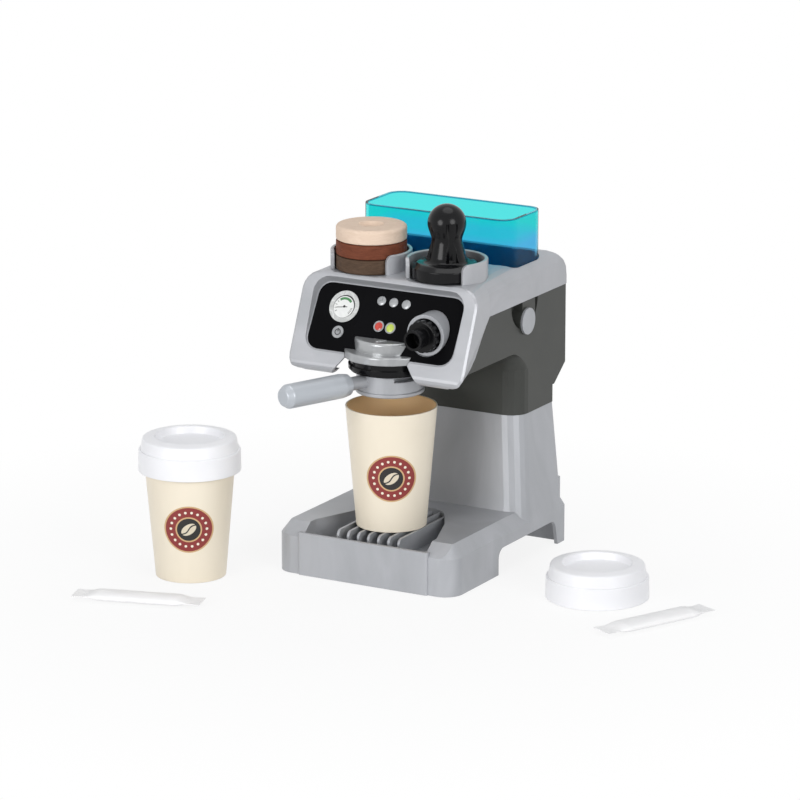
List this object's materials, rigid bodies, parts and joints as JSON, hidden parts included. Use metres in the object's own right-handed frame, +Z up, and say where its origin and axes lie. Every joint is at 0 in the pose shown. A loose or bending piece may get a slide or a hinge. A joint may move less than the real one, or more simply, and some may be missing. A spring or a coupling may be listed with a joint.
{
  "type": "toy coffee maker",
  "caption": "Toy espresso machine with a lift-out water tank, stacked pods, tamper, turning filter holder, knob, tray cup, lidded cup, spare lid and sugar sachets.",
  "frame": {"origin": "on the table, under the middle of the front wall of the base", "axes": "+Z up, +X to the right seen from the front, +Y from the front to the back"},
  "size_m": [0.3923, 0.2989, 0.2526],
  "materials": {
    "silver_plastic": "satin silver-grey moulded plastic",
    "black_plastic": "charcoal moulded plastic",
    "panel_print": "glossy printed label",
    "screw_steel": "plain steel",
    "teal_clear": "see-through teal plastic",
    "dark_brown": "matt plastic",
    "red_brown": "matt plastic",
    "pod_cream": "matt plastic",
    "black_gloss": "glossy black plastic",
    "cup_cream": "satin cream plastic",
    "lid_clear": "milky white plastic",
    "paper_white": "coated paper"
  },
  "bodies": {
    "machine": {"base": "silver_plastic", "drip_grill": "silver_plastic", "body_shell": "black_plastic", "hood": "silver_plastic", "well_left": "silver_plastic", "well_right": "silver_plastic", "panel_label": "panel_print", "group_head": "silver_plastic", "group_collar": "black_plastic", "knob_ring": "silver_plastic", "side_disc_left": "silver_plastic", "side_disc_right": "silver_plastic", "base_screws": "screw_steel", "hood_screws": "screw_steel", "group_screws": "screw_steel"},
    "tank": {"water_tank": "teal_clear"},
    "bottom_pod": {"pod_bottom": "dark_brown"},
    "middle_pod": {"pod_middle": "red_brown"},
    "top_pod": {"pod_top": "pod_cream"},
    "tamper": {"tamper": "black_gloss"},
    "knob": {"knob": "black_gloss", "knob_screw": "screw_steel"},
    "lock_ring": {"lock_ring": "black_plastic"},
    "filter_holder": {"filter_holder": "silver_plastic", "filter_basket": "silver_plastic", "holder_grip": "silver_plastic"},
    "tray_cup": {"tray_cup": "cup_cream"},
    "takeaway_cup": {"takeaway_cup": "cup_cream"},
    "cup_lid": {"cup_lid": "lid_clear"},
    "loose_lid": {"loose_lid": "lid_clear"},
    "sachet_left": {"sachet_left": "paper_white"},
    "sachet_right": {"sachet_right": "paper_white"}
  },
  "joints": [
    {"name": "tank_lift", "type": "slide", "parent": "machine", "child": "tank", "axis": [0, 0, 1], "range_m": [0, 0.06]},
    {"name": "pod_bottom_lift", "type": "slide", "parent": "machine", "child": "bottom_pod", "axis": [0, 0, 1], "range_m": [0, 0.04]},
    {"name": "pod_middle_lift", "type": "slide", "parent": "bottom_pod", "child": "middle_pod", "axis": [0, 0, 1], "range_m": [0, 0.03]},
    {"name": "pod_top_lift", "type": "slide", "parent": "middle_pod", "child": "top_pod", "axis": [0, 0, 1], "range_m": [0, 0.03]},
    {"name": "tamper_lift", "type": "slide", "parent": "machine", "child": "tamper", "axis": [0, 0, 1], "range_m": [0, 0.05]},
    {"name": "knob_turn", "type": "hinge", "parent": "machine", "child": "knob", "pos_m": [0.035, 0.03115, 0.1716], "axis": [0, -1, 0], "continuous": true},
    {"name": "holder_turn", "type": "hinge", "parent": "machine", "child": "lock_ring", "pos_m": [0, 0.037, 0.1445], "axis": [0, 0, 1], "range_deg": [0, 30]},
    {"name": "holder_drop", "type": "slide", "parent": "lock_ring", "child": "filter_holder", "axis": [0, 0, -1], "range_m": [0, 0.008]},
    {"name": "tray_cup_out", "type": "slide", "parent": "machine", "child": "tray_cup", "axis": [0, -1, 0], "range_m": [0, 0.1]},
    {"name": "takeaway_cup_lift", "type": "slide", "parent": "machine", "child": "takeaway_cup", "axis": [0, 0, 1], "range_m": [0, 0.06]},
    {"name": "cup_lid_lift", "type": "slide", "parent": "takeaway_cup", "child": "cup_lid", "axis": [0, 0, 1], "range_m": [0, 0.04]},
    {"name": "loose_lid_lift", "type": "slide", "parent": "machine", "child": "loose_lid", "axis": [0, 0, 1], "range_m": [0, 0.04]},
    {"name": "sachet_left_lift", "type": "slide", "parent": "machine", "child": "sachet_left", "axis": [0, 0, 1], "range_m": [0, 0.04]},
    {"name": "sachet_right_lift", "type": "slide", "parent": "machine", "child": "sachet_right", "axis": [0, 0, 1], "range_m": [0, 0.04]}
  ]
}
